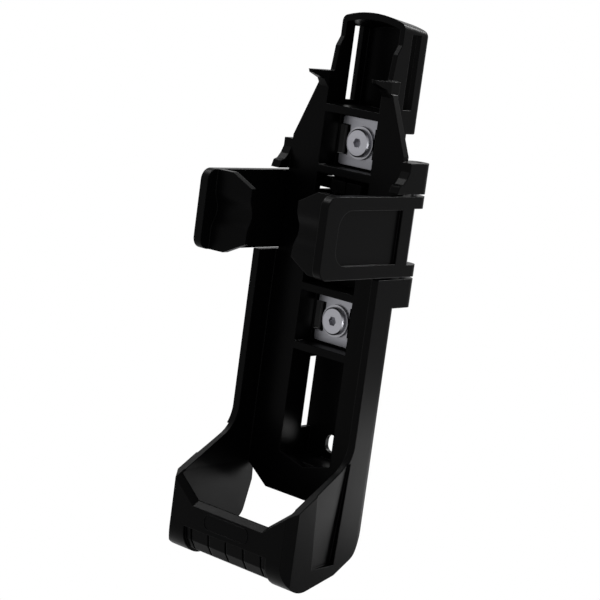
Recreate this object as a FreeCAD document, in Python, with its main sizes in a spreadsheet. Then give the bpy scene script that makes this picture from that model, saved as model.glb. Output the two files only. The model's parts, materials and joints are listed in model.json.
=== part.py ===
import FreeCAD, Part
import math
import os
import re
import Sketcher

# Bike lock bracket in millimetres. X is to the right, -Y is the open front and +Z is up. The origin lies
# midway between the two frame bolts, on the plane where the bracket's screw bays meet the frame's bosses.

doc = FreeCAD.newDocument("lock_bracket")
sheet = doc.addObject("Spreadsheet::Sheet", "Sizes")

SIZES = {
    # Panel and cheeks
    "cheek_half": 29.0,
    "wall": 2.9,
    "panel_front": -12.0,
    "cheek_rim": -21.0,
    "cheek_corner": -75.2,
    "cheek_round": 12.0,
    "back_round": 3.2,
    "panel_foot": -97.0,
    "panel_foot_half": 16.3,
    "panel_foot_side": -89.9,
    # Cup
    "cup_front": -49.2,
    "cup_side_rim": -92.1,
    "rim_dip": -99.9,
    "rim_dip_half": 16.5,
    "rim_side_half": 26.5,
    "cup_base_corner": -121.8,
    "cup_base_round": 10.0,
    "heel_front": -22.9,
    "heel_front_z": -115.2,
    "heel_back": -13.2,
    "heel_back_z": -109.6,
    "cup_chamfer_side": 2.5,
    "cup_chamfer_front": 3.4,
    "lean_top": -89.5,
    "lean": 2.2,
    "roll_top": -108.0,
    "roll_half": 19.6,
    "roll_step": 0.8,
    "roll_groove": 0.8,
    "roll_groove_depth": 1.5,
    "heel_round": 6.0,
    "floor_back": -20.0,
    "roll_pitch": 8.35,
    "recess_ridge_top": -37.8,
    "recess_ridge_foot": -35.3,
    "recess_line_top": -22.0,
    "recess_line_foot": -23.7,
    "recess_ridge_depth": 0.4,
    "recess_depth_top": 0.8,
    "recess_depth_foot": 2.0,
    "recess_foot": -111.4,
    # Channel
    "channel_half": 12.0,
    "channel_wall": 2.0,
    "channel_back": 2.2,
    "bolt_half_spacing": 32.0,
    "bay_floor": 3.0,
    "bay_half": 9.4,
    "shelf": 2.8,
    "mid_floor": 1.9,
    "screw_slot_half": 7.0,
    "bay_window_in": 8.2,
    "bay_window_out": 11.4,
    "bay_window_half": 5.2,
    # Strap boxes
    "loop_foot": 37.5,
    "loop_apex": 78.2,
    "loop_crown": 41.0,
    "loop_fall": 2.9,
    "loop_roof": 2.4,
    "loop_back": 8.5,
    "loop_wall": 2.2,
    "loop_front": -6.7,
    "loop_round": 2.5,
    "loop_slot_front": -1.8,
    "loop_slot_back": 3.0,
    "loop_slot_low": 45.8,
    "loop_slot_top": 71.9,
    "box_foot": -86.5,
    "box_back": 5.8,
    "box_wall": 1.9,
    "box_slot_front": -1.5,
    "box_slot_low": -74.7,
    "box_slot_top": -48.0,
    "drain_half": 4.1,
    "drain_round": 2.6,
    "drain_low": -82.0,
    "drain_top": -75.4,
    "lip_side": -82.2,
    "lip_middle": -85.4,
    # Fingers and hooks
    "finger_top": 51.2,
    "finger_tip_half": 16.7,
    "finger_bend_half": 22.8,
    "finger_bend": 36.7,
    "finger_foot": 31.1,
    "hook_in": 12.0,
    "hook_out": 16.0,
    "hook_top": 55.6,
    "hook_tip": -20.3,
    "hook_tip_in": 13.5,
    "hook_tip_out": 15.0,
    # Hinges
    "barrel_radius": 3.7,
    "hinge_y": -3.3,
    "pin_radius": 1.0,
    "pin_play": 0.05,
    "pin_seat": 0.01,
    "pin_sink": 0.5,
    "upper_lug_low": 18.9,
    "upper_lug_top": 29.5,
    "lower_lug_top": -10.7,
    "lower_lug_low": -20.8,
    # Jaws
    "jaw_gap": 0.8,
    "prong": 4.2,
    "arm": 3.3,
    "arm_front": -52.7,
    "arm_round": 4.0,
    "arm_heel": 3.6,
    "arm_play": 0.5,
    "frame_front": 6.8,
    "frame_back": -13.0,
    "frame_band": 4.6,
    "frame_depth": 1.2,
    "claw_edge": 10.6,
    "claw_edge_front": -46.7,
    "claw_slant": 6.2,
    "claw": 2.6,
    "claw_wave": 1.9,
    "claw_wave_half": 5.6,
    "claw_wave_flat": 1.6,
    "claw_wave_round": 6.0,
    "claw_taper_start": 19.5,
    "claw_taper": 4.5,
    "lever": 3.0,
    "lever_back": -0.7,
    "tip_front": -9.7,
    "tip_gap": 0.3,
    "tip_end": 6.8,
    "lever_play": 0.4,
    "lever_rear_play": 0.8,
    "post_x": 5.6,
    "post_y": -8.0,
    "post_radius": 1.1,
    # Spring
    "wire": 0.7,
    "cross_wire": 0.644,
    "coil_radius": 2.15,
    "coil_z": 10.5,
    "coil_pitch": 1.05,
    "spring_play": 0.15,
    # Clamp plates, washers and screws
    "plate_half": 9.25,
    "plate_low": 8.6,
    "plate": 1.5,
    "plate_round": 1.0,
    "notch_in": 5.6,
    "notch_low": 5.0,
    "notch_top": 5.7,
    "washer_radius": 5.9,
    "washer": 0.9,
    "hole_play": 0.25,
    "head_radius": 5.0,
    "head": 1.4,
    "head_chamfer": 0.5,
    "screw_radius": 2.5,
    "neck_radius": 2.3,
    "thread_start": 0.3,
    "screw_end": 7.6,
    "socket_radius": 1.75,
    "socket_depth": 1.9,
}
for row, (alias, value) in enumerate(SIZES.items(), start=1):
    sheet.set(f"A{row}", alias)
    sheet.set(f"B{row}", str(value))
    sheet.setAlias(f"B{row}", alias)
doc.recompute()

OUTER = "(channel_half + channel_wall)"
HINGE_X = "(cheek_half - barrel_radius)"
ARM_IN = "(cheek_half - arm)"
PANEL_EDGE = "(cheek_half - arm - arm_play)"
JAW_TOP = "(upper_lug_low - jaw_gap)"
JAW_FOOT = "(lower_lug_top + jaw_gap)"
PANEL_BACK = "(panel_front + wall)"
RIM_SLOPE = "atan((cheek_corner - cup_side_rim) / (cheek_rim - cup_front))"
X_AXIS = FreeCAD.Vector(1, 0, 0)
Y_AXIS = FreeCAD.Vector(0, 1, 0)
BEYOND = 5


def linked(text):
    """Turn plain size names in an expression into references to the sheet."""
    return re.sub(r"\b(?!deg\b)([a-z]\w*)\b(?!\()", r"Sizes.\1", str(text))


def size(name):
    return SIZES[name]


def add_body(label):
    body = doc.addObject("PartDesign::Body", label)
    body.Label = label
    return body


def add_sketch(body, name, plane, offset, tilt_axis=None, tilt="0", lift="0"):
    """Sketch on one of the body's own origin planes, moved along its normal, lifted and tilted if asked."""
    sketch = body.newObject("Sketcher::SketchObject", name + "_sketch")
    origin = [item for item in body.Origin.OriginFeatures if item.Role == plane + "_Plane"][0]
    sketch.AttachmentSupport = (origin, "")
    sketch.MapMode = "FlatFace"
    sketch.setExpression(".AttachmentOffset.Base.z", linked(offset))
    if tilt_axis:
        sketch.AttachmentOffset.Rotation = FreeCAD.Rotation(tilt_axis, 1)
        sketch.setExpression(".AttachmentOffset.Rotation.Angle", linked(tilt))
        sketch.setExpression(".AttachmentOffset.Base.y", linked(lift))
    return sketch


def bind_all(sketch, bound):
    """Add constraints in one call, each datum bound to its expression; None leaves one unbound."""
    indices = sketch.addConstraint([constraint for constraint, text in bound])
    for index, (constraint, text) in zip(indices, bound):
        if text is not None:
            sketch.setExpression(f"Constraints[{index}]", linked(text))


def vertex_at(line, end, x, y):
    return [
        (Sketcher.Constraint("DistanceX", -1, 1, line, end, 1.0), x),
        (Sketcher.Constraint("DistanceY", -1, 1, line, end, 1.0), y),
    ]


def add_outline(sketch, points):
    """Closed polygon with every corner bound to the sheet."""
    count = len(points)
    first = sketch.GeometryCount
    turn = 2 * math.pi / count
    ring = [FreeCAD.Vector(50 * math.cos(i * turn), 50 * math.sin(i * turn), 0) for i in range(count)]
    sketch.addGeometry([Part.LineSegment(ring[i], ring[(i + 1) % count]) for i in range(count)], False)
    bound = []
    for i, (x, y) in enumerate(points):
        bound.append((Sketcher.Constraint("Coincident", first + i, 2, first + (i + 1) % count, 1), None))
        bound += vertex_at(first + i, 1, x, y)
    bind_all(sketch, bound)


def add_circle(sketch, x, y, radius):
    index = sketch.addGeometry(Part.Circle(FreeCAD.Vector(1, 1, 0), FreeCAD.Vector(0, 0, 1), 1.5), False)
    bind_all(sketch, vertex_at(index, 3, x, y) + [(Sketcher.Constraint("Radius", index, 1.5), radius)])


def add_arch(sketch, half, foot, top, radius):
    """Upright rectangle under a round crown, centred on the sketch's own vertical axis."""
    start = {name: size(name) for name in ("channel_half", "loop_foot", "loop_apex", "loop_crown")}
    side = start["channel_half"]
    low = start["loop_foot"]
    middle = start["loop_apex"] - start["loop_crown"]
    angle = math.acos(side / start["loop_crown"])
    high = middle + start["loop_crown"] * math.sin(angle)
    corners = [FreeCAD.Vector(x, y, 0) for x, y in ((-side, high), (-side, low), (side, low), (side, high))]
    for i in range(3):
        sketch.addGeometry(Part.LineSegment(corners[i], corners[i + 1]), False)
    circle = Part.Circle(FreeCAD.Vector(0, middle, 0), FreeCAD.Vector(0, 0, 1), start["loop_crown"])
    sketch.addGeometry(Part.ArcOfCircle(circle, angle, math.pi - angle), False)
    bound = [(Sketcher.Constraint("Coincident", i, 2, (i + 1) % 4, 1), None) for i in range(4)]
    bound += [(Sketcher.Constraint("Vertical", line), None) for line in (0, 2)]
    bound += vertex_at(1, 1, f"-{half}", foot) + vertex_at(1, 2, half, foot)
    bound += vertex_at(3, 3, "0", f"{top} - {radius}")
    bound.append((Sketcher.Constraint("Radius", 3, start["loop_crown"]), radius))
    bind_all(sketch, bound)


def box_points(x_low, x_high, y_low, y_high):
    return [(x_low, y_low), (x_high, y_low), (x_high, y_high), (x_low, y_high)]


def mirrored(points):
    return [(f"-({x})", y) for x, y in points]


def extrude(body, kind, name, plane, low, high, drawing):
    """Pad or Pocket between two heights along the plane's axis; drawing fills the sketch."""
    sketch = add_sketch(body, name, plane, f"-({high})" if plane == "XZ" else low)
    drawing(sketch)
    return run_out(body, kind, name, sketch, f"({high}) - ({low})", kind == "Pocket")


def run_out(body, kind, name, sketch, length, reverse):
    """Pad or Pocket a drawn sketch, and make sure that it adds or removes something."""
    before = body.Tip.Shape.Volume if body.Tip else 0
    feature = body.newObject("PartDesign::" + kind, name)
    feature.Profile = sketch
    feature.Refine = False
    feature.Reversed = reverse
    feature.setExpression("Length", linked(length))
    doc.recompute()
    grown = feature.Shape.Volume - before
    if (kind == "Pad") != (grown > 0) or grown == 0:
        raise RuntimeError(f"{name} changed the volume by {grown:.2f}")
    sketch.Visibility = False
    return feature


def pad(body, name, plane, low, high, *outlines):
    return extrude(body, "Pad", name, plane, low, high, lambda s: [add_outline(s, p) for p in outlines])


def pocket(body, name, plane, low, high, *outlines):
    return extrude(body, "Pocket", name, plane, low, high, lambda s: [add_outline(s, p) for p in outlines])


def round_off(body, kind, name, radius, wanted, along=None):
    """Fillet or Chamfer on the edges whose two end points both satisfy wanted and that run along an axis."""
    base = body.Tip
    names = []
    for number, edge in enumerate(base.Shape.Edges, start=1):
        ends = [vertex.Point for vertex in edge.Vertexes]
        if not ends or not all(wanted(point) for point in ends):
            continue
        spans = [abs(high - low) for low, high in zip(ends[0], ends[-1])]
        if along is None or spans.index(max(spans)) == "XYZ".index(along):
            names.append(f"Edge{number}")
    if not names:
        raise RuntimeError(name + " found no edge")
    feature = body.newObject("PartDesign::" + kind, name)
    feature.Base = (base, names)
    feature.setExpression("Radius" if kind == "Fillet" else "Size", linked(radius))
    doc.recompute()
    return feature


def near(value, target, margin=0.02):
    return abs(value - target) < margin


def cup_side():
    """Side view of the cheeks and cup, from the top of the back edge round by the front."""
    return [
        (PANEL_BACK, "lower_lug_top"),
        ("cheek_rim", "lower_lug_top"),
        ("cheek_rim", "cheek_corner"),
        ("cup_front", "cup_side_rim"),
        ("cup_front", "cup_base_corner"),
        ("heel_front", "heel_front_z"),
        ("heel_back", "heel_back_z"),
        (PANEL_BACK, "panel_foot"),
    ]


def cup_hollow():
    """Tool body: the room inside the cheeks and cup, whose sides lean in below the crease."""
    body = add_body("cup_room")
    inside = "(cheek_half - wall)"
    pad(body, "room", "YZ", f"-{inside}", inside, [
        (f"{PANEL_BACK} + {BEYOND}", f"lower_lug_top + {BEYOND}"),
        (f"cup_front - {BEYOND}", f"lower_lug_top + {BEYOND}"),
        (f"cup_front - {BEYOND}", f"cheek_corner - {BEYOND}"),
        ("cup_front + wall", f"cheek_corner - {BEYOND}"),
        ("cup_front + wall", "cup_base_corner + 1.3 * wall"),
        ("heel_front - 0.4 * wall", "heel_front_z + 0.95 * wall"),
        ("floor_back", "heel_front_z + 1.5 * wall"),
        ("floor_back", f"cup_base_corner - {BEYOND}"),
        (f"{PANEL_BACK} + {BEYOND}", f"cup_base_corner - {BEYOND}"),
    ])
    front = size("cup_front") + size("wall")
    low = size("cup_base_corner") + 1.3 * size("wall")
    round_off(body, "Fillet", "room_round", "cup_base_round - wall",
              lambda p: near(p.y, front) and near(p.z, low))
    slope = [
        (inside, "lean_top"),
        (f"{inside} + {BEYOND}", "lean_top"),
        (f"{inside} + {BEYOND}", f"cup_base_corner - 2 * {BEYOND}"),
        (f"{inside} - 1.3 * lean", f"cup_base_corner - 2 * {BEYOND}"),
    ]
    pocket(body, "room_lean", "XZ", f"cup_front - {BEYOND}", f"{BEYOND}", slope, mirrored(slope))
    return body


def add_cup(body):
    pad(body, "cup", "YZ", "-cheek_half", "cheek_half", cup_side())
    half = size("cheek_half")
    front = size("cup_front")
    rim = size("cheek_rim")
    corner = size("cheek_corner")
    base = size("cup_base_corner")
    back = size("panel_front") + size("wall")
    round_off(body, "Fillet", "cheek_corner_round", "cheek_round",
              lambda p: near(p.y, rim) and near(p.z, corner))
    round_off(body, "Fillet", "cup_base_round", "cup_base_round",
              lambda p: near(p.y, front) and near(p.z, base))
    heel = (size("heel_back"), size("heel_back_z"))
    round_off(body, "Fillet", "heel_round", "heel_round", lambda p: near(p.y, heel[0]) and near(p.z, heel[1]))
    chamfer = [
        (f"cheek_half + {BEYOND}", "cup_front + cup_chamfer_front"),
        ("cheek_half", "cup_front + cup_chamfer_front"),
        ("cheek_half - cup_chamfer_side", "cup_front"),
        ("cheek_half - cup_chamfer_side", f"cup_front - {BEYOND}"),
        (f"cheek_half + {BEYOND}", f"cup_front - {BEYOND}"),
    ]
    pocket(body, "cup_chamfer", "XY", f"cup_base_corner - {BEYOND}", "cheek_corner", chamfer,
           mirrored(chamfer))
    round_off(body, "Fillet", "cheek_back_round", "back_round",
              lambda p: near(abs(p.x), half) and near(p.y, back))
    room = cup_hollow()
    cut = body.newObject("PartDesign::Boolean", "cup_room_cut")
    cut.Type = "Cut"
    cut.addObjects([room])
    doc.recompute()


def add_rim(body):
    """The front wall's rim dips between its corners, cut along the slope of the cheeks' rims."""
    sketch = add_sketch(body, "rim_dip_cut", "XZ", "-(cup_front + 2 * wall)", X_AXIS, RIM_SLOPE,
                        "cup_side_rim")

    def on_front(height):
        return f"({height} - cup_side_rim) * cos({RIM_SLOPE}) + 2 * wall * sin({RIM_SLOPE})"

    add_outline(sketch, [
        ("-rim_dip_half", on_front("rim_dip")),
        ("rim_dip_half", on_front("rim_dip")),
        ("rim_side_half", on_front("cup_side_rim")),
        ("rim_side_half", on_front(f"cup_side_rim + {BEYOND}")),
        ("-rim_side_half", on_front(f"cup_side_rim + {BEYOND}")),
        ("-rim_side_half", on_front("cup_side_rim")),
    ])
    run_out(body, "Pocket", "rim_dip_cut", sketch, f"2 * wall + {BEYOND}", True)


def roll_points(depth):
    """Side view of a skin of some depth taken off the cup's rounded base."""
    return [
        (f"cup_front - {BEYOND}", "roll_top"),
        (f"cup_front + {depth}", "roll_top"),
        (f"cup_front + 0.9 + {depth}", "roll_top - 4.6"),
        (f"cup_front + 3.4 + {depth}", "roll_top - 8.2"),
        ("cup_front + 7.6", f"roll_top - 10.6 + {depth}"),
        ("cup_front + 12.4", f"roll_top - 10.9 + {depth}"),
        ("heel_front", f"heel_front_z + {depth}"),
        ("heel_front", f"cup_base_corner - {BEYOND}"),
        (f"cup_front - {BEYOND}", f"cup_base_corner - {BEYOND}"),
    ]


def add_roll(body):
    """The base is set back under the front face, with grooves that run round it."""
    for number in range(-2, 3):
        middle = f"{number} * roll_pitch"
        pocket(body, f"roll_groove_{number + 3}", "YZ", f"{middle} - roll_groove / 2",
               f"{middle} + roll_groove / 2",
               roll_points("roll_groove_depth"))
    pocket(body, "roll_band", "YZ", "-roll_half", "roll_half", roll_points("roll_step"))


def add_side_recess(body, side):
    """Wedge-shaped recess in a cheek's outer face, deeper towards its foot."""
    name = "right_recess" if side > 0 else "left_recess"
    sections = []
    heights = (("top", "cheek_corner", "recess_ridge_top", "recess_line_top", "recess_depth_top"),
               ("foot", "recess_foot", "recess_ridge_foot", "recess_line_foot", "recess_depth_foot"))
    for end, height, ridge, line, depth in heights:
        sketch = add_sketch(body, f"{name}_{end}", "XY", height)
        add_outline(sketch, [
            (f"{side} * (cheek_half - recess_ridge_depth)", ridge),
            (f"{side} * (cheek_half - {depth})", line),
            (f"{side} * (cheek_half + {BEYOND})", line),
            (f"{side} * (cheek_half + {BEYOND})", ridge),
        ])
        sketch.Visibility = False
        sections.append(sketch)
    doc.recompute()
    loft = body.newObject("PartDesign::SubtractiveLoft", name)
    loft.Profile = sections[0]
    loft.Sections = [sections[1]]
    loft.Ruled = True
    doc.recompute()


def loft_arches(body, kind, name, half, foot, apex, crown, front, back):
    """Ruled loft of one arch from front to back, whose top falls by the roof's fall."""
    ends = []
    run = "(loop_back - panel_front)"
    for end, depth in (("front", front), ("back", back)):
        sketch = add_sketch(body, f"{name}_{end}", "XZ", f"-({depth})")
        add_arch(sketch, half, foot, f"({apex} - loop_fall * ({depth} - panel_front) / {run})", crown)
        sketch.Visibility = False
        ends.append(sketch)
    doc.recompute()
    loft = body.newObject("PartDesign::" + kind, name)
    loft.Profile = ends[0]
    loft.Sections = [ends[1]]
    loft.Ruled = True
    doc.recompute()


def add_loop(body):
    """Upper strap box with an arched roof, which falls towards the back, and a strap slot in each side."""
    loft_arches(body, "AdditiveLoft", "loop", OUTER, "loop_foot", "loop_apex", "loop_crown", "panel_front",
                "loop_back")
    outer = size("channel_half") + size("channel_wall")
    back = size("loop_back")
    foot = size("loop_foot")
    crown_z = size("loop_apex")
    round_off(body, "Fillet", "loop_back_round", "loop_round",
              lambda p: near(abs(p.x), outer) and near(p.y, back) and p.z > foot - 1)
    round_off(body, "Fillet", "loop_shoulder_round", "loop_round",
              lambda p: near(abs(p.x), outer) and p.z > (foot + crown_z) / 2, "Y")


def hollow_loop(body):
    pocket(body, "loop_front_cut", "YZ", f"-({OUTER} + 1)", f"{OUTER} + 1", [
        ("panel_front - 1", "finger_top"),
        ("panel_front", "finger_top"),
        ("panel_front + 2.3", "hook_top + 0.4"),
        ("loop_front - 2", "hook_top + 8.9"),
        ("loop_front", "hook_top + 12.4"),
        ("loop_front", "loop_apex + 1"),
        ("panel_front - 1", "loop_apex + 1"),
    ])
    loft_arches(body, "SubtractiveLoft", "loop_room", "channel_half", f"{UPPER_BAY_TOP} + shelf",
                "loop_apex - loop_roof", "(loop_crown - loop_roof)", "(panel_front - 1)",
                "(loop_back - loop_wall)")
    pocket(body, "loop_slots", "YZ", f"-({OUTER} + 1)", f"{OUTER} + 1",
           box_points("loop_slot_front", "loop_slot_back", "loop_slot_low", "loop_slot_top"))
    pocket(body, "loop_skirt_room", "XY", "loop_foot - 1", UPPER_BAY_TOP,
           box_points("-channel_half", "channel_half", "channel_back", "loop_back - loop_wall"))


UPPER_BAY_TOP = "(bolt_half_spacing + bay_half)"
UPPER_BAY_LOW = "(bolt_half_spacing - bay_half)"


def add_channel(body):
    """Channel block with two screw bays and a middle bay between cross shelves."""
    pad(body, "channel", "XZ", "panel_front", "channel_back",
        box_points(f"-{OUTER}", OUTER, f"-({UPPER_BAY_TOP} + shelf)", f"{UPPER_BAY_TOP} + shelf"))
    pad(body, "box", "XZ", "panel_front", "box_back",
        box_points(f"-{OUTER}", OUTER, "box_foot", f"-{UPPER_BAY_TOP}"))


def hollow_channel(body):
    pocket(body, "mid_bay", "XZ", "panel_front - 1", "channel_back - mid_floor",
           box_points("-channel_half", "channel_half", f"-({UPPER_BAY_LOW} - shelf)",
           f"{UPPER_BAY_LOW} - shelf"))
    upper = box_points("-channel_half", "channel_half", UPPER_BAY_LOW, UPPER_BAY_TOP)
    lower = box_points("-channel_half", "channel_half", f"-{UPPER_BAY_TOP}", f"-{UPPER_BAY_LOW}")
    pocket(body, "screw_bays", "XZ", "panel_front - 1", "-bay_floor", upper, lower)
    pocket(body, "boss_seats", "XZ", "0", "channel_back + 1",
           box_points("-channel_half", "channel_half", UPPER_BAY_LOW, "loop_foot"), lower)
    slots = []
    windows = []
    for sign in (1, -1):
        middle = f"{sign} * bolt_half_spacing"
        slots.append(box_points("-(screw_radius + hole_play)", "screw_radius + hole_play",
                                f"{middle} - screw_slot_half", f"{middle} + screw_slot_half"))
        window = box_points("bay_window_in", "bay_window_out",
                            f"{middle} - bay_window_half", f"{middle} + bay_window_half")
        windows += [window, mirrored(window)]
    pocket(body, "screw_slots", "XZ", "-(bay_floor + 1)", "1", *slots)
    pocket(body, "bay_windows", "XZ", "-(bay_floor + 1)", "1", *windows)
    pocket(body, "box_room", "XZ", f"{PANEL_BACK}", "box_back - box_wall",
           box_points("-channel_half", "channel_half", "box_foot + channel_wall",
           f"-({UPPER_BAY_TOP} + shelf)"))
    pocket(body, "box_mouth", "XZ", "panel_front - 1", PANEL_BACK, [
        ("-channel_half", f"-({UPPER_BAY_TOP} + shelf)"),
        ("-channel_half", "lip_side"),
        ("-0.45 * channel_half", "lip_side - 1.7"),
        ("0", "lip_middle"),
        ("0.45 * channel_half", "lip_side - 1.7"),
        ("channel_half", "lip_side"),
        ("channel_half", f"-({UPPER_BAY_TOP} + shelf)"),
    ])
    pocket(body, "box_slots", "YZ", f"-({OUTER} + 1)", f"{OUTER} + 1",
           box_points("box_slot_front", "box_back - box_wall", "box_slot_low", "box_slot_top"))
    pocket(body, "drain", "XZ", "box_back - box_wall - 1", "box_back + 1",
           box_points("-drain_half", "drain_half", "drain_low", "drain_top"))
    drain = size("drain_half")
    round_off(body, "Fillet", "drain_round", "drain_round",
              lambda p: near(abs(p.x), drain) and size("drain_low") - 1 < p.z < size("drain_top") + 1, "Y")


def add_panel(body):
    """Flat panel behind the lock, with the two fingers, open where the channel runs."""
    right = [
        ("0", "panel_foot"),
        ("panel_foot_half", "panel_foot"),
        ("cheek_half - wall + 0.05", "panel_foot_side"),
        ("cheek_half - wall + 0.05", "lower_lug_top"),
        (PANEL_EDGE, "lower_lug_top"),
        (PANEL_EDGE, "finger_foot"),
        ("finger_bend_half", "finger_bend"),
        ("finger_tip_half", "finger_top"),
        ("channel_half", "finger_top"),
        ("channel_half", "lip_side"),
        ("0.45 * channel_half", "lip_side - 1.7"),
        ("0", "lip_middle"),
    ]
    left = mirrored(right)[1:-1]
    left.reverse()
    pad(body, "panel", "XZ", "panel_front", PANEL_BACK, right + left)


def add_hooks(body):
    profile = [
        (PANEL_BACK, "finger_top - 4"),
        ("panel_front + 0.2", "finger_top - 1.5"),
        ("hook_tip + 6.1", "hook_top - 3"),
        ("hook_tip + 0.6", "hook_top - 1.2"),
        ("hook_tip", "hook_top"),
        ("loop_front - 0.8", "hook_top"),
        ("loop_front - 0.8", "finger_top - 4"),
    ]
    pad(body, "right_hook", "YZ", "hook_in", "hook_out", profile)
    pad(body, "left_hook", "YZ", "-hook_out", "-hook_in", profile)
    outer = [
        ("hook_out", "panel_front"),
        ("hook_tip_out", "hook_tip"),
        ("hook_tip_out", f"hook_tip - {BEYOND}"),
        (f"hook_out + {BEYOND}", f"hook_tip - {BEYOND}"),
        (f"hook_out + {BEYOND}", "panel_front"),
    ]
    inner = [
        ("hook_in", "panel_front"),
        ("hook_tip_in", "hook_tip"),
        ("hook_tip_in", f"hook_tip - {BEYOND}"),
        (f"hook_in - {BEYOND}", f"hook_tip - {BEYOND}"),
        (f"hook_in - {BEYOND}", "panel_front"),
    ]
    pocket(body, "hook_taper", "XY", "finger_top - 5", f"hook_top + {BEYOND}",
           outer, mirrored(outer))
    pocket(body, "hook_inner_taper", "XY", "finger_top - 5", f"hook_top + {BEYOND}",
           inner, mirrored(inner))


def add_lugs(body):
    """Hinge lugs flush with the cheeks, with the gusset in front of the upper pair."""
    barrel_in = f"({HINGE_X} - barrel_radius)"
    web = box_points(barrel_in, "cheek_half", "panel_front", "hinge_y")
    levels = (("upper", "upper_lug_low", "upper_lug_top"), ("lower", "lower_lug_low", "lower_lug_top"))
    for name, low, high in levels:
        pad(body, f"{name}_lug_webs", "XY", low, high, web, mirrored(web))

        def barrels(sketch):
            add_circle(sketch, HINGE_X, "hinge_y", "barrel_radius")
            add_circle(sketch, f"-{HINGE_X}", "hinge_y", "barrel_radius")

        extrude(body, "Pad", f"{name}_lug_barrels", "XY", low, high, barrels)
    gusset = [
        ("panel_front + 1", "upper_lug_top"),
        ("panel_front", "upper_lug_top"),
        ("panel_front", "upper_lug_top - 3"),
        ("panel_front - 1.2", "upper_lug_top - 5.5"),
        ("panel_front - 2.8", "upper_lug_top - 7.4"),
        ("panel_front - 4.5", "upper_lug_top - 8"),
        ("panel_front - 5.4", "upper_lug_low"),
        ("panel_front + 1", "upper_lug_low"),
    ]
    pad(body, "right_gusset", "YZ", PANEL_EDGE, "cheek_half", gusset)
    pad(body, "left_gusset", "YZ", "-cheek_half", f"-{PANEL_EDGE}", gusset)

    def holes(sketch):
        add_circle(sketch, HINGE_X, "hinge_y", "pin_radius + pin_seat")
        add_circle(sketch, f"-{HINGE_X}", "hinge_y", "pin_radius + pin_seat")

    extrude(body, "Pocket", "pin_holes", "XY", "lower_lug_low - 1", "upper_lug_top + 1", holes)


def open_lever_windows(body):
    """Openings in the channel's sides where the jaws' levers pass."""
    upper = box_points(PANEL_BACK, "lever_back + lever_rear_play", f"{JAW_TOP} - prong - lever_play",
                       f"{JAW_TOP} + lever_play")
    lower = box_points(PANEL_BACK, "lever_back + lever_rear_play", f"{JAW_FOOT} - lever_play",
                       f"{JAW_FOOT} + prong + lever_play")
    pocket(body, "lever_windows", "YZ", f"-({OUTER} + 1)", f"{OUTER} + 1", upper, lower)


def make_cup():
    """Cheeks and cup as one shell, fused into the cradle at the end."""
    body = add_body("cup_shell")
    add_cup(body)
    add_rim(body)
    add_roll(body)
    add_side_recess(body, 1)
    add_side_recess(body, -1)
    return body


def make_cradle():
    body = add_body("cradle")
    add_panel(body)
    add_channel(body)
    add_loop(body)
    hollow_loop(body)
    hollow_channel(body)
    add_hooks(body)
    add_lugs(body)
    open_lever_windows(body)
    join = body.newObject("PartDesign::Boolean", "cup_join")
    join.Type = "Fuse"
    join.addObjects([make_cup()])
    join.Refine = True
    doc.recompute()
    return body


def make_jaw(side):
    """Clamping jaw: arm, framed recess, waved claw, knuckles, levers and the spring's post."""
    label = "right_jaw" if side > 0 else "left_jaw"
    body = add_body(label)

    def across(points):
        return [(f"{side} * ({x})", y) for x, y in points]

    def between(inner, outer):
        if side > 0:
            return inner, outer
        return f"-({outer})", f"-({inner})"

    pad(body, "arm", "YZ", *between(ARM_IN, "cheek_half"),
        box_points("arm_front", "hinge_y - arm_heel", JAW_FOOT, JAW_TOP))
    front = size("arm_front")
    round_off(body, "Fillet", "arm_round", "arm_round", lambda p: near(p.y, front), "X")
    pocket(body, "frame", "YZ", *between("cheek_half - frame_depth", "cheek_half + 1"),
           box_points("arm_front + frame_front", "frame_back", f"{JAW_FOOT} + frame_band",
           f"{JAW_TOP} - frame_band"))
    add_claw(body, side)
    levels = (("foot", JAW_FOOT, f"{JAW_FOOT} + prong"), ("top", f"{JAW_TOP} - prong", JAW_TOP))
    for name, low, high in levels:
        pad(body, f"{name}_web", "XY", low, high,
            across(box_points(ARM_IN, "cheek_half", "hinge_y - arm_heel - 1", "hinge_y")))
        extrude(body, "Pad", f"{name}_knuckle", "XY", low, high,
                lambda s: add_circle(s, f"{side} * {HINGE_X}", "hinge_y", "barrel_radius"))
        pad(body, f"{name}_lever", "XY", low, high, across([
            (HINGE_X, "lever_back - lever"),
            ("tip_end", "lever_back - lever"),
            ("tip_end", "tip_front"),
            ("tip_gap", "tip_front"),
            ("tip_gap", "lever_back"),
            (HINGE_X, "lever_back"),
        ]))
    extrude(body, "Pad", "post", "XY", JAW_FOOT, JAW_TOP,
            lambda s: add_circle(s, f"{side} * post_x", "post_y", "post_radius"))
    extrude(body, "Pocket", "knuckle_bore", "XY", f"{JAW_FOOT} - 1", f"{JAW_TOP} + 1",
            lambda s: add_circle(s, f"{side} * {HINGE_X}", "hinge_y", "pin_radius + pin_play"))
    return body


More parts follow.
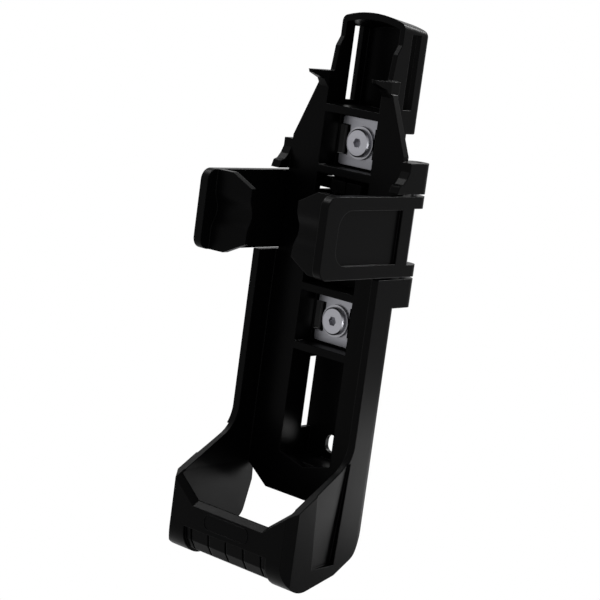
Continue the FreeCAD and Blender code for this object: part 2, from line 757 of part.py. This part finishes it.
def add_claw(body, side):
    """Waved claw plate that leans slightly back towards its free edge, its height tapering to that edge."""
    middle = f"({JAW_TOP} + {JAW_FOOT}) / 2"
    front = "claw_edge_front"
    wave = [
        (front, JAW_FOOT),
        (front, f"{middle} - claw_wave_half"),
        (f"{front} + claw_wave", f"{middle} - claw_wave_flat"),
        (f"{front} + claw_wave", f"{middle} + claw_wave_flat"),
        (front, f"{middle} + claw_wave_half"),
        (front, JAW_TOP),
    ]
    rear = [(f"{y} + claw", z) for y, z in reversed(wave)]
    start = f"{side} * (claw_edge - claw_edge_front * sin(claw_slant * 1 deg))"
    sketch = add_sketch(body, "claw", "YZ", start, Y_AXIS, f"-{side} * claw_slant * 1 deg")
    add_outline(sketch, wave + rear)
    run_out(body, "Pad", "claw", sketch, f"{ARM_IN} + 0.5 - claw_edge", side < 0)
    body.Tip.Refine = True
    doc.recompute()
    jaw_top = size("upper_lug_low") - size("jaw_gap")
    jaw_foot = size("lower_lug_top") + size("jaw_gap")
    round_off(body, "Fillet", "claw_wave_round", "claw_wave_round",
              lambda p: jaw_foot + 1 < p.z < jaw_top - 1 and p.y < size("frame_back") - 20, "X")
    top_corner = [
        ("claw_taper_start", f"{JAW_TOP} + 1"),
        ("claw_taper_start", JAW_TOP),
        ("claw_edge", f"{JAW_TOP} - claw_taper"),
        ("claw_edge - 1", f"{JAW_TOP} - claw_taper"),
        ("claw_edge - 1", f"{JAW_TOP} + 1"),
    ]
    low_corner = [
        ("claw_taper_start", f"{JAW_FOOT} - 1"),
        ("claw_taper_start", JAW_FOOT),
        ("claw_edge", f"{JAW_FOOT} + claw_taper"),
        ("claw_edge - 1", f"{JAW_FOOT} + claw_taper"),
        ("claw_edge - 1", f"{JAW_FOOT} - 1"),
    ]
    pair = [top_corner, low_corner]
    if side < 0:
        pair = [mirrored(top_corner), mirrored(low_corner)]
    pocket(body, "claw_taper", "XZ", "arm_front - 1", f"claw_edge_front + claw + claw_wave + {BEYOND}", *pair)


def make_pin(side):
    """Hinge pin through a pair of lugs and both of a jaw's knuckles."""
    label = "right_hinge_pin" if side > 0 else "left_hinge_pin"
    pin = doc.addObject("Part::Cylinder", label)
    pin.Label = label
    pin.setExpression("Radius", linked("pin_radius"))
    pin.setExpression("Height", linked("upper_lug_top - lower_lug_low - 2 * pin_sink"))
    pin.setExpression(".Placement.Base.x", linked(f"{side} * {HINGE_X}"))
    pin.setExpression(".Placement.Base.y", linked("hinge_y"))
    pin.setExpression(".Placement.Base.z", linked("lower_lug_low + pin_sink"))
    return pin


def make_spring():
    """Coil spring between the jaws' posts: a helix, a cross-over at each end and an eye round each post."""
    eye = "(post_radius + spring_play + wire / 2)"
    half = f"(post_x - {eye})"
    helix = doc.addObject("Part::Helix", "coil_path")
    helix.setExpression("Pitch", linked("coil_pitch"))
    helix.setExpression("Height", linked(f"2 * {half}"))
    helix.setExpression("Radius", linked("coil_radius"))
    helix.Placement.Rotation = FreeCAD.Rotation(FreeCAD.Vector(0, 1, 0), 90)
    helix.setExpression(".Placement.Base.x", linked(f"-{half}"))
    helix.setExpression(".Placement.Base.y", linked("post_y"))
    helix.setExpression(".Placement.Base.z", linked("coil_z"))
    section = doc.addObject("Part::RegularPolygon", "coil_wire")
    section.Polygon = 6
    section.setExpression("Circumradius", linked("wire / 2"))
    section.Placement.Rotation = FreeCAD.Rotation(FreeCAD.Vector(1, 0, 0), 90)
    section.setExpression(".Placement.Base.x", linked(f"-{half}"))
    section.setExpression(".Placement.Base.y", linked("post_y"))
    section.setExpression(".Placement.Base.z", linked("coil_z - coil_radius"))
    coil = doc.addObject("Part::Sweep", "coil")
    coil.Sections = [section]
    coil.Spine = (helix, [])
    coil.Solid = True
    coil.Frenet = True
    pieces = [coil]
    for side in (1, -1):
        name = "right" if side > 0 else "left"
        loop = doc.addObject("Part::RegularPolygon", f"eye_wire_{name}")
        loop.Polygon = 6
        loop.setExpression("Circumradius", linked("wire / 2"))
        loop.Placement.Rotation = FreeCAD.Rotation(FreeCAD.Vector(1, 0, 0), 90)
        loop.setExpression(".Placement.Base.x", linked(f"{side} * post_x + {eye}"))
        loop.setExpression(".Placement.Base.y", linked("post_y"))
        loop.setExpression(".Placement.Base.z", linked("coil_z"))
        ring = doc.addObject("Part::Revolution", f"eye_{name}")
        ring.Source = loop
        ring.Solid = True
        ring.Axis = FreeCAD.Vector(0, 0, 1)
        ring.setExpression(".Base.x", linked(f"{side} * post_x"))
        ring.setExpression(".Base.y", linked("post_y"))
        pieces.append(ring)
        bar = doc.addObject("Part::Cylinder", "cross_right" if side > 0 else "cross_left")
        bar.setExpression("Radius", linked("cross_wire / 2"))
        bar.setExpression("Height", linked("coil_radius"))
        bar.setExpression(".Placement.Base.x", linked(f"{side} * {half}"))
        bar.setExpression(".Placement.Base.y", linked("post_y"))
        bar.setExpression(".Placement.Base.z", linked("coil_z - coil_radius"))
        pieces.append(bar)
    spring = doc.addObject("Part::MultiFuse", "jaw_spring")
    spring.Label = "jaw_spring"
    spring.Shapes = pieces
    return spring


def make_plate(name, sign):
    """Notched steel plate that spreads a screw's load over the bay's slot."""
    body = add_body(f"{name}_clamp_plate")
    middle = f"{sign} * bolt_half_spacing"
    pad(body, "plate", "XZ", "-(bay_floor + plate)", "-bay_floor", [
        ("-plate_half", f"{middle} - plate_low"),
        ("plate_half", f"{middle} - plate_low"),
        ("plate_half", f"{middle} - notch_low"),
        ("notch_in", f"{middle} - notch_low"),
        ("notch_in", f"{middle} + notch_top"),
        ("plate_half", f"{middle} + notch_top"),
        ("plate_half", f"{middle} + plate_low"),
        ("-plate_half", f"{middle} + plate_low"),
        ("-plate_half", f"{middle} + notch_top"),
        ("-notch_in", f"{middle} + notch_top"),
        ("-notch_in", f"{middle} - notch_low"),
        ("-plate_half", f"{middle} - notch_low"),
    ])
    half = size("plate_half")
    round_off(body, "Fillet", "plate_round", "plate_round",
              lambda p: near(abs(p.x), half) and near(abs(abs(p.z) - size("bolt_half_spacing")),
              size("plate_low")),
              "Y")
    extrude(body, "Pocket", "plate_hole", "XZ", "-(bay_floor + plate + 1)", "0",
            lambda s: add_circle(s, "0", middle, "screw_radius + hole_play"))
    return body


def make_washer(name, sign):
    body = add_body(f"{name}_washer")
    middle = f"{sign} * bolt_half_spacing"

    def ring(sketch):
        add_circle(sketch, "0", middle, "washer_radius")
        add_circle(sketch, "0", middle, "screw_radius + hole_play")

    extrude(body, "Pad", "washer", "XZ", "-(bay_floor + plate + washer)", "-(bay_floor + plate)", ring)
    return body


def make_screw(name, sign):
    """Low-head socket screw that passes through the washer, plate and bay floor into the frame."""
    body = add_body(f"{name}_screw")
    middle = f"{sign} * bolt_half_spacing"
    seat = "-(bay_floor + plate + washer)"
    extrude(body, "Pad", "head", "XZ", f"{seat} - head", seat,
            lambda s: add_circle(s, "0", middle, "head_radius"))
    face = -(size("bay_floor") + size("plate") + size("washer") + size("head"))
    round_off(body, "Chamfer", "head_chamfer", "head_chamfer", lambda p: near(p.y, face))
    extrude(body, "Pad", "neck", "XZ", seat, "thread_start",
            lambda s: add_circle(s, "0", middle, "neck_radius"))
    extrude(body, "Pad", "thread", "XZ", "thread_start", "screw_end",
            lambda s: add_circle(s, "0", middle, "screw_radius"))
    corners = [(math.cos(math.radians(60 * i)), math.sin(math.radians(60 * i))) for i in range(6)]
    pocket(body, "socket", "XZ", f"{seat} - head - 1", f"{seat} - head + socket_depth",
           [(f"{x:.6f} * socket_radius", f"{middle} + {y:.6f} * socket_radius") for x, y in corners])
    return body


pieces = [make_cradle()]
for side in (1, -1):
    pieces.append(make_jaw(side))
    pieces.append(make_pin(side))
pieces.append(make_spring())
for name, sign in (("upper", 1), ("lower", -1)):
    pieces.append(make_plate(name, sign))
    pieces.append(make_washer(name, sign))
    pieces.append(make_screw(name, sign))
doc.recompute()

for item in doc.Objects:
    if "Invalid" in item.State or "Error" in item.State:
        raise RuntimeError(f"{item.Label} is in a bad state: {item.State}")
os.makedirs("parts", exist_ok=True)
for piece in pieces:
    shape = piece.Shape
    if shape.isNull() or not shape.isValid():
        raise RuntimeError(f"{piece.Label} has no valid shape")
    shape.exportStep(f"parts/{piece.Label}.step")
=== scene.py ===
import json
import math

import bpy
from mathutils import Matrix, Vector


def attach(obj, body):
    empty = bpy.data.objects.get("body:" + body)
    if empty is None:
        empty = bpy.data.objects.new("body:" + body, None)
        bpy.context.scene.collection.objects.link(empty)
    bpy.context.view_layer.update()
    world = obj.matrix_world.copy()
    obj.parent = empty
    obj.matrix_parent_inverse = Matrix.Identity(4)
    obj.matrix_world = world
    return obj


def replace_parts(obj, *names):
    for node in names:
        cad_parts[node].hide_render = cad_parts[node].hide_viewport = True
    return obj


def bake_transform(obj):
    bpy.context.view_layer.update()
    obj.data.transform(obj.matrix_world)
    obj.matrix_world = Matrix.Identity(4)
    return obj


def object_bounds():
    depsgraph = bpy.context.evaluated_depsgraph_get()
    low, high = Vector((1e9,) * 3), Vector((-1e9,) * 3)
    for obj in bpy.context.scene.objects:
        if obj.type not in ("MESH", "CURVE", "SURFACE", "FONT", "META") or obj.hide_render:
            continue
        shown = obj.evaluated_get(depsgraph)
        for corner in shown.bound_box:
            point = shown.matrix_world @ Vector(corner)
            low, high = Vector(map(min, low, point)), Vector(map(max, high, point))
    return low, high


# Looks for the bike lock bracket: black moulded plastic, zinc-plated clamp hardware and a bright spring.

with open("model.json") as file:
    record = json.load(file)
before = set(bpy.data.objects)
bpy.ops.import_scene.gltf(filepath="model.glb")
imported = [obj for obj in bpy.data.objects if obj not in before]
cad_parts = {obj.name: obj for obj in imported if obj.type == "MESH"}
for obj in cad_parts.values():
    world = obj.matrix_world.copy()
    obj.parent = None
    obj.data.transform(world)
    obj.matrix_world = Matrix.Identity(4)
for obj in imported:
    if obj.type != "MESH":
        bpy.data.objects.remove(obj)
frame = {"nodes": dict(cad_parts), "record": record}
cad_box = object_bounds()

MM = 0.001
BASE = "cradle_body"

# Camera, solved from the photograph
CAMERA_AT = (0.428571, -0.536999, 0.091913)
AZIMUTH = 39.99
ELEVATION = 9.81
ROLL = 7.72
LENS = 116.9
SENSOR_WIDTH = 36

# Floor, world and lamps. A lamp has its name, its place, what it faces, its two sides and its watts.
FLOOR_DROP = 0.25
FLOOR_REACH = 6
FLOOR_GREY = 0.8
FLOOR_ROUGHNESS = 0.9
WORLD_LIGHT = 0.4
MIDDLE = (0, -0.02, -0.02)
CUP_LEFT_WALL = (-0.026, -0.035, -0.097)
LAMPS = (
    ("front_left_softbox", (-0.64, -0.76, -0.05), MIDDLE, 0.5, 0.8, 0.15),
    ("back_right_softbox", (0.66, 0.74, -0.10), MIDDLE, 0.5, 0.8, 0.45),
    ("front_right_strip", (0.80, -0.62, -0.20), MIDDLE, 0.10, 0.7, 2.6),
    ("top_left_strip", (-0.63, -0.20, 0.75), MIDDLE, 0.6, 0.12, 5.0),
    ("top_back_strip", (0.20, 0.75, 0.65), MIDDLE, 0.6, 0.12, 13.0),
    ("low_window", (0.085, 0.10, -0.115), CUP_LEFT_WALL, 0.06, 0.05, 0.085),
)

# Moulded plastic
PLASTIC_SHEEN = 0.03
MOTTLE_SCALE = 90
MOTTLE_DETAIL = 3
MOTTLE = 0.05
GRAIN_SCALE = 2600
GRAIN_DETAIL = 2
GRAIN_STRENGTH = 0.12
GRAIN_DEPTH = 0.05 * MM
MOULDED_EDGE = 0.5 * MM
MOULDED_EDGE_SAMPLES = 8

# Plated steel
STREAK_STRETCH = (60, 60, 1400)
STREAK_SCALE = 1
STREAK_DETAIL = 2
STREAK_DOWN = 0.06
STREAK_UP = 0.08
PLATED_EDGE = 0.12 * MM
PLATED_EDGE_SAMPLES = 4

# Screw threads. Each corner of the ridge has its shift along the screw and its rise from the shank.
BOLT_HALF_SPACING = 32 * MM
SHANK_RADIUS = 2.5 * MM
THREAD_FROM = 0.4 * MM
THREAD_TO = 7.4 * MM
THREAD_PITCH = 0.8 * MM
THREAD_STEPS = 28
THREAD_RIDGE = ((-0.3 * MM, -0.02 * MM), (0, 0.16 * MM), (0.3 * MM, -0.02 * MM))

# Jaw spring. Past its last turn the wire comes in to the eye at two points. Each has its distance beyond
# the coil's end and its share of the coil's radius.
POST_AT = (5.6 * MM, -8.0 * MM, 10.5 * MM)
COIL_END = 4.0 * MM
COIL_RADIUS = 2.15 * MM
COIL_PITCH = 1.05 * MM
TURN_STEPS = 24
TO_THE_EYE = ((0.1 * MM, 0.6), (0.05 * MM, 0.25))
EYE_RADIUS = 1.6 * MM
WIRE = 0.35 * MM
WIRE_SIDES = 8

# Raised outline on the cup's front wall
OUTLINE_HALF_WIDTH = 10.3 * MM
OUTLINE_HALF_HEIGHT = 2.7 * MM
OUTLINE_CORNER = 2.2 * MM
OUTLINE_CORNER_STEPS = 6
OUTLINE_MIDDLE_Z = -103.5 * MM
OUTLINE_BEAD = 0.22 * MM
CUP_FRONT = -49.2 * MM


def new_material(name, colour):
    material = bpy.data.materials.new(name)
    material.use_nodes = True
    nodes = material.node_tree.nodes
    shader = nodes["Principled BSDF"]
    shader.inputs["Base Color"].default_value = (*colour, 1)
    return material, nodes, material.node_tree.links, shader


def add_noise(nodes, scale, detail):
    noise = nodes.new("ShaderNodeTexNoise")
    noise.inputs["Scale"].default_value = scale
    noise.inputs["Detail"].default_value = detail
    return noise


def vary_roughness(nodes, links, shader, noise, low, high):
    spread = nodes.new("ShaderNodeMapRange")
    spread.inputs["To Min"].default_value = low
    spread.inputs["To Max"].default_value = high
    links.new(noise.outputs["Fac"], spread.inputs["Value"])
    links.new(spread.outputs["Result"], shader.inputs["Roughness"])


def rounded_normal(nodes, radius, samples):
    """Surface direction that makes sharp edges look rounded."""
    edge = nodes.new("ShaderNodeBevel")
    edge.samples = samples
    edge.inputs["Radius"].default_value = radius
    return edge.outputs["Normal"]


def moulded_plastic(name, colour, roughness):
    """Black moulded plastic: faint mottling in its sheen and a fine spark-eroded grain."""
    material, nodes, links, shader = new_material(name, colour)
    shader.inputs["Specular IOR Level"].default_value = PLASTIC_SHEEN
    place = nodes.new("ShaderNodeTexCoord")
    mottle = add_noise(nodes, MOTTLE_SCALE, MOTTLE_DETAIL)
    links.new(place.outputs["Object"], mottle.inputs["Vector"])
    vary_roughness(nodes, links, shader, mottle, roughness - MOTTLE, roughness + MOTTLE)
    grain = add_noise(nodes, GRAIN_SCALE, GRAIN_DETAIL)
    links.new(place.outputs["Object"], grain.inputs["Vector"])
    bump = nodes.new("ShaderNodeBump")
    bump.inputs["Strength"].default_value = GRAIN_STRENGTH
    bump.inputs["Distance"].default_value = GRAIN_DEPTH
    links.new(grain.outputs["Fac"], bump.inputs["Height"])
    links.new(rounded_normal(nodes, MOULDED_EDGE, MOULDED_EDGE_SAMPLES), bump.inputs["Normal"])
    links.new(bump.outputs["Normal"], shader.inputs["Normal"])
    return material


def plated_steel(name, colour, roughness):
    """Zinc-plated steel with a faint brushed unevenness."""
    material, nodes, links, shader = new_material(name, colour)
    shader.inputs["Metallic"].default_value = 1
    place = nodes.new("ShaderNodeTexCoord")
    stretch = nodes.new("ShaderNodeMapping")
    stretch.inputs["Scale"].default_value = STREAK_STRETCH
    links.new(place.outputs["Object"], stretch.inputs["Vector"])
    streak = add_noise(nodes, STREAK_SCALE, STREAK_DETAIL)
    links.new(stretch.outputs["Vector"], streak.inputs["Vector"])
    vary_roughness(nodes, links, shader, streak, roughness - STREAK_DOWN, roughness + STREAK_UP)
    links.new(rounded_normal(nodes, PLATED_EDGE, PLATED_EDGE_SAMPLES), shader.inputs["Normal"])
    return material


MATERIALS = {
    "cradle_plastic": moulded_plastic("cradle_plastic", (0.0008, 0.0008, 0.0009), 0.34),
    "jaw_plastic": moulded_plastic("jaw_plastic", (0.0010, 0.0010, 0.0011), 0.33),
    "pin_steel": plated_steel("pin_steel", (0.16, 0.16, 0.17), 0.35),
    "spring_steel": plated_steel("spring_steel", (0.45, 0.45, 0.47), 0.25),
    "plate_steel": plated_steel("plate_steel", (0.24, 0.24, 0.26), 0.36),
    "washer_steel": plated_steel("washer_steel", (0.28, 0.28, 0.30), 0.32),
    "screw_steel": plated_steel("screw_steel", (0.30, 0.30, 0.325), 0.30),
}


def dress_nodes():
    """Give each CAD node the material of its slot in the record."""
    slots = {row["node"]: row["material_slot"] for row in frame["record"]["subparts"]}
    for name, node in frame["nodes"].items():
        node.data.materials.clear()
        node.data.materials.append(MATERIALS[slots[name]])


def add_mesh(name, vertices, faces, material, body):
    """New smooth-shaded piece in the slot named like its material, on a body if one is given."""
    mesh = bpy.data.meshes.new(name)
    mesh.from_pydata(vertices, [], faces)
    mesh.validate()
    mesh.polygons.foreach_set("use_smooth", [True] * len(mesh.polygons))
    mesh.materials.append(MATERIALS[material])
    piece = bpy.data.objects.new(name, mesh)
    bpy.context.collection.objects.link(piece)
    if body:
        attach(piece, body)
    return piece


def add_thread(name, middle_z):
    """Fine screw thread as a helical ridge on the shank behind the seat plane."""
    count = int((THREAD_TO - THREAD_FROM) / THREAD_PITCH * THREAD_STEPS)
    corners = len(THREAD_RIDGE)
    vertices = []
    for i in range(count + 1):
        angle = math.tau * i / THREAD_STEPS
        along = THREAD_FROM + THREAD_PITCH * i / THREAD_STEPS
        for shift, rise in THREAD_RIDGE:
            reach = SHANK_RADIUS + rise
            vertices.append((reach * math.cos(angle), along + shift, middle_z + reach * math.sin(angle)))
    faces = []
    for i in range(count):
        for k in range(corners - 1):
            a = corners * i + k
            faces.append((a, a + 1, a + corners + 1, a + corners))
    return add_mesh(name, vertices, faces, "screw_steel", BASE)


def tube(path, radius):
    """Vertices and faces of a round wire along a path of points, closed at both ends."""
    points = [Vector(point) for point in path]
    last = len(points) - 1
    vertices = []
    faces = []
    across = None
    for i, point in enumerate(points):
        ahead = points[min(i + 1, last)] - points[max(i - 1, 0)]
        ahead.normalize()
        if across is None:
            across = ahead.orthogonal()
        across = (across - ahead * across.dot(ahead)).normalized()
        other = ahead.cross(across)
        for k in range(WIRE_SIDES):
            angle = math.tau * k / WIRE_SIDES
            vertices.append(point + (across * math.cos(angle) + other * math.sin(angle)) * radius)
    for i in range(last):
        for k in range(WIRE_SIDES):
            a = i * WIRE_SIDES + k
            b = i * WIRE_SIDES + (k + 1) % WIRE_SIDES
            faces.append((a, b, b + WIRE_SIDES, a + WIRE_SIDES))
    faces.append(tuple(reversed(range(WIRE_SIDES))))
    faces.append(tuple(range(len(vertices) - WIRE_SIDES, len(vertices))))
    return vertices, faces


def add_half_spring(side):
    """Half of the jaw spring: its turns from the middle out, then the eye round the jaw's post."""
    turns = COIL_END / COIL_PITCH
    steps = round(turns * TURN_STEPS)
    path = []
    for i in range(steps + 1):
        along = COIL_END * i / steps
        angle = math.tau * turns * (1 - i / steps)
        path.append(Vector((side * along, COIL_RADIUS * math.sin(angle), -COIL_RADIUS * math.cos(angle))))
    for beyond, share in TO_THE_EYE:
        path.append(Vector((side * (COIL_END + beyond), 0, -share * COIL_RADIUS)))
    for i in range(TURN_STEPS + 1):
        angle = math.tau * i / TURN_STEPS
        across = POST_AT[0] - EYE_RADIUS * math.cos(angle)
        path.append(Vector((side * across, EYE_RADIUS * math.sin(angle), 0)))
    centre = Vector((0, POST_AT[1], POST_AT[2]))
    vertices, faces = tube([centre + point for point in path], WIRE)
    name = "right_spring_half" if side > 0 else "left_spring_half"
    piece = add_mesh(name, vertices, faces, "spring_steel", None)
    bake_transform(piece)
    return piece


def add_front_outline():
    """Plain raised outline on the cup's front wall, where the real one frames its lettering."""
    straight_x = OUTLINE_HALF_WIDTH - OUTLINE_CORNER
    straight_z = OUTLINE_HALF_HEIGHT - OUTLINE_CORNER
    path = []
    for side_x, side_z, start in ((1, 1, 0), (-1, 1, 90), (-1, -1, 180), (1, -1, 270)):
        for step in range(OUTLINE_CORNER_STEPS + 1):
            angle = math.radians(start + 90 / OUTLINE_CORNER_STEPS * step)
            x = side_x * straight_x + OUTLINE_CORNER * math.cos(angle)
            z = OUTLINE_MIDDLE_Z + side_z * straight_z + OUTLINE_CORNER * math.sin(angle)
            path.append((x, CUP_FRONT, z))
    path.append(path[0])
    vertices, faces = tube(path, OUTLINE_BEAD)
    return add_mesh("cup_front_outline", vertices, faces, "cradle_plastic", BASE)


def show_white(tree, lit, white, output):
    """Plain white for camera, glossy and transmission rays, and the lit surface for the rest."""
    rays = tree.nodes.new("ShaderNodeLightPath")
    sees_white = rays.outputs["Is Camera Ray"]
    for kind in ("Is Glossy Ray", "Is Transmission Ray"):
        either = tree.nodes.new("ShaderNodeMath")
        either.operation = "MAXIMUM"
        tree.links.new(sees_white, either.inputs[0])
        tree.links.new(rays.outputs[kind], either.inputs[1])
        sees_white = either.outputs["Value"]
    mix = tree.nodes.new("ShaderNodeMixShader")
    tree.links.new(sees_white, mix.inputs["Fac"])
    tree.links.new(lit, mix.inputs[1])
    tree.links.new(white, mix.inputs[2])
    tree.links.new(mix.outputs["Shader"], output)


def add_floor():
    """Pale floor that lights the part from below and is itself seen as plain white."""
    height = cad_box[0][2] - FLOOR_DROP
    corners = [(-FLOOR_REACH, -FLOOR_REACH, height), (FLOOR_REACH, -FLOOR_REACH, height),
               (FLOOR_REACH, FLOOR_REACH, height), (-FLOOR_REACH, FLOOR_REACH, height)]
    mesh = bpy.data.meshes.new("floor")
    mesh.from_pydata(corners, [], [(0, 1, 2, 3)])
    floor = bpy.data.objects.new("floor", mesh)
    bpy.context.collection.objects.link(floor)
    material, nodes, links, shader = new_material("floor_pale", (FLOOR_GREY, FLOOR_GREY, FLOOR_GREY))
    shader.inputs["Roughness"].default_value = FLOOR_ROUGHNESS
    white = nodes.new("ShaderNodeEmission")
    white.inputs["Color"].default_value = (1, 1, 1, 1)
    show_white(material.node_tree, shader.outputs["BSDF"], white.outputs["Emission"],
               nodes["Material Output"].inputs["Surface"])
    mesh.materials.append(material)


def add_world():
    """Soft even light from all round, seen as plain white."""
    world = bpy.data.worlds.new("studio")
    world.use_nodes = True
    bpy.context.scene.world = world
    tree = world.node_tree
    soft = tree.nodes["Background"]
    soft.inputs["Color"].default_value = (1, 1, 1, 1)
    soft.inputs["Strength"].default_value = WORLD_LIGHT
    plain = tree.nodes.new("ShaderNodeBackground")
    plain.inputs["Color"].default_value = (1, 1, 1, 1)
    plain.inputs["Strength"].default_value = 1
    show_white(tree, soft.outputs["Background"], plain.outputs["Background"],
               tree.nodes["World Output"].inputs["Surface"])


def add_lamp(name, at, target, size_x, size_y, power):
    light = bpy.data.lights.new(name, "AREA")
    light.shape = "RECTANGLE"
    light.size = size_x
    light.size_y = size_y
    light.energy = power
    lamp = bpy.data.objects.new(name, light)
    bpy.context.collection.objects.link(lamp)
    lamp.location = at
    lamp.visible_camera = False
    lamp.rotation_euler = (Vector(target) - Vector(at)).to_track_quat("-Z", "Y").to_euler()


def add_camera():
    """Camera that takes the photograph's view."""
    data = bpy.data.cameras.new("camera")
    data.lens = LENS
    data.sensor_width = SENSOR_WIDTH
    camera = bpy.data.objects.new("camera", data)
    bpy.context.collection.objects.link(camera)
    turn = Matrix.Rotation(math.radians(AZIMUTH), 4, "Z")
    pitch = Matrix.Rotation(math.radians(90 - ELEVATION), 4, "X")
    roll = Matrix.Rotation(math.radians(ROLL), 4, "Z")
    camera.matrix_world = Matrix.Translation(CAMERA_AT) @ turn @ pitch @ roll
    bpy.context.scene.camera = camera


dress_nodes()
add_thread("upper_screw_thread", BOLT_HALF_SPACING)
add_thread("lower_screw_thread", -BOLT_HALF_SPACING)
add_front_outline()
for spring_side, spring_jaw in ((1, "right_jaw_body"), (-1, "left_jaw_body")):
    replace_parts(add_half_spring(spring_side), "jaw_spring")
add_floor()
add_world()
for lamp_row in LAMPS:
    add_lamp(*lamp_row)
add_camera()
bpy.context.scene.view_settings.view_transform = "Standard"
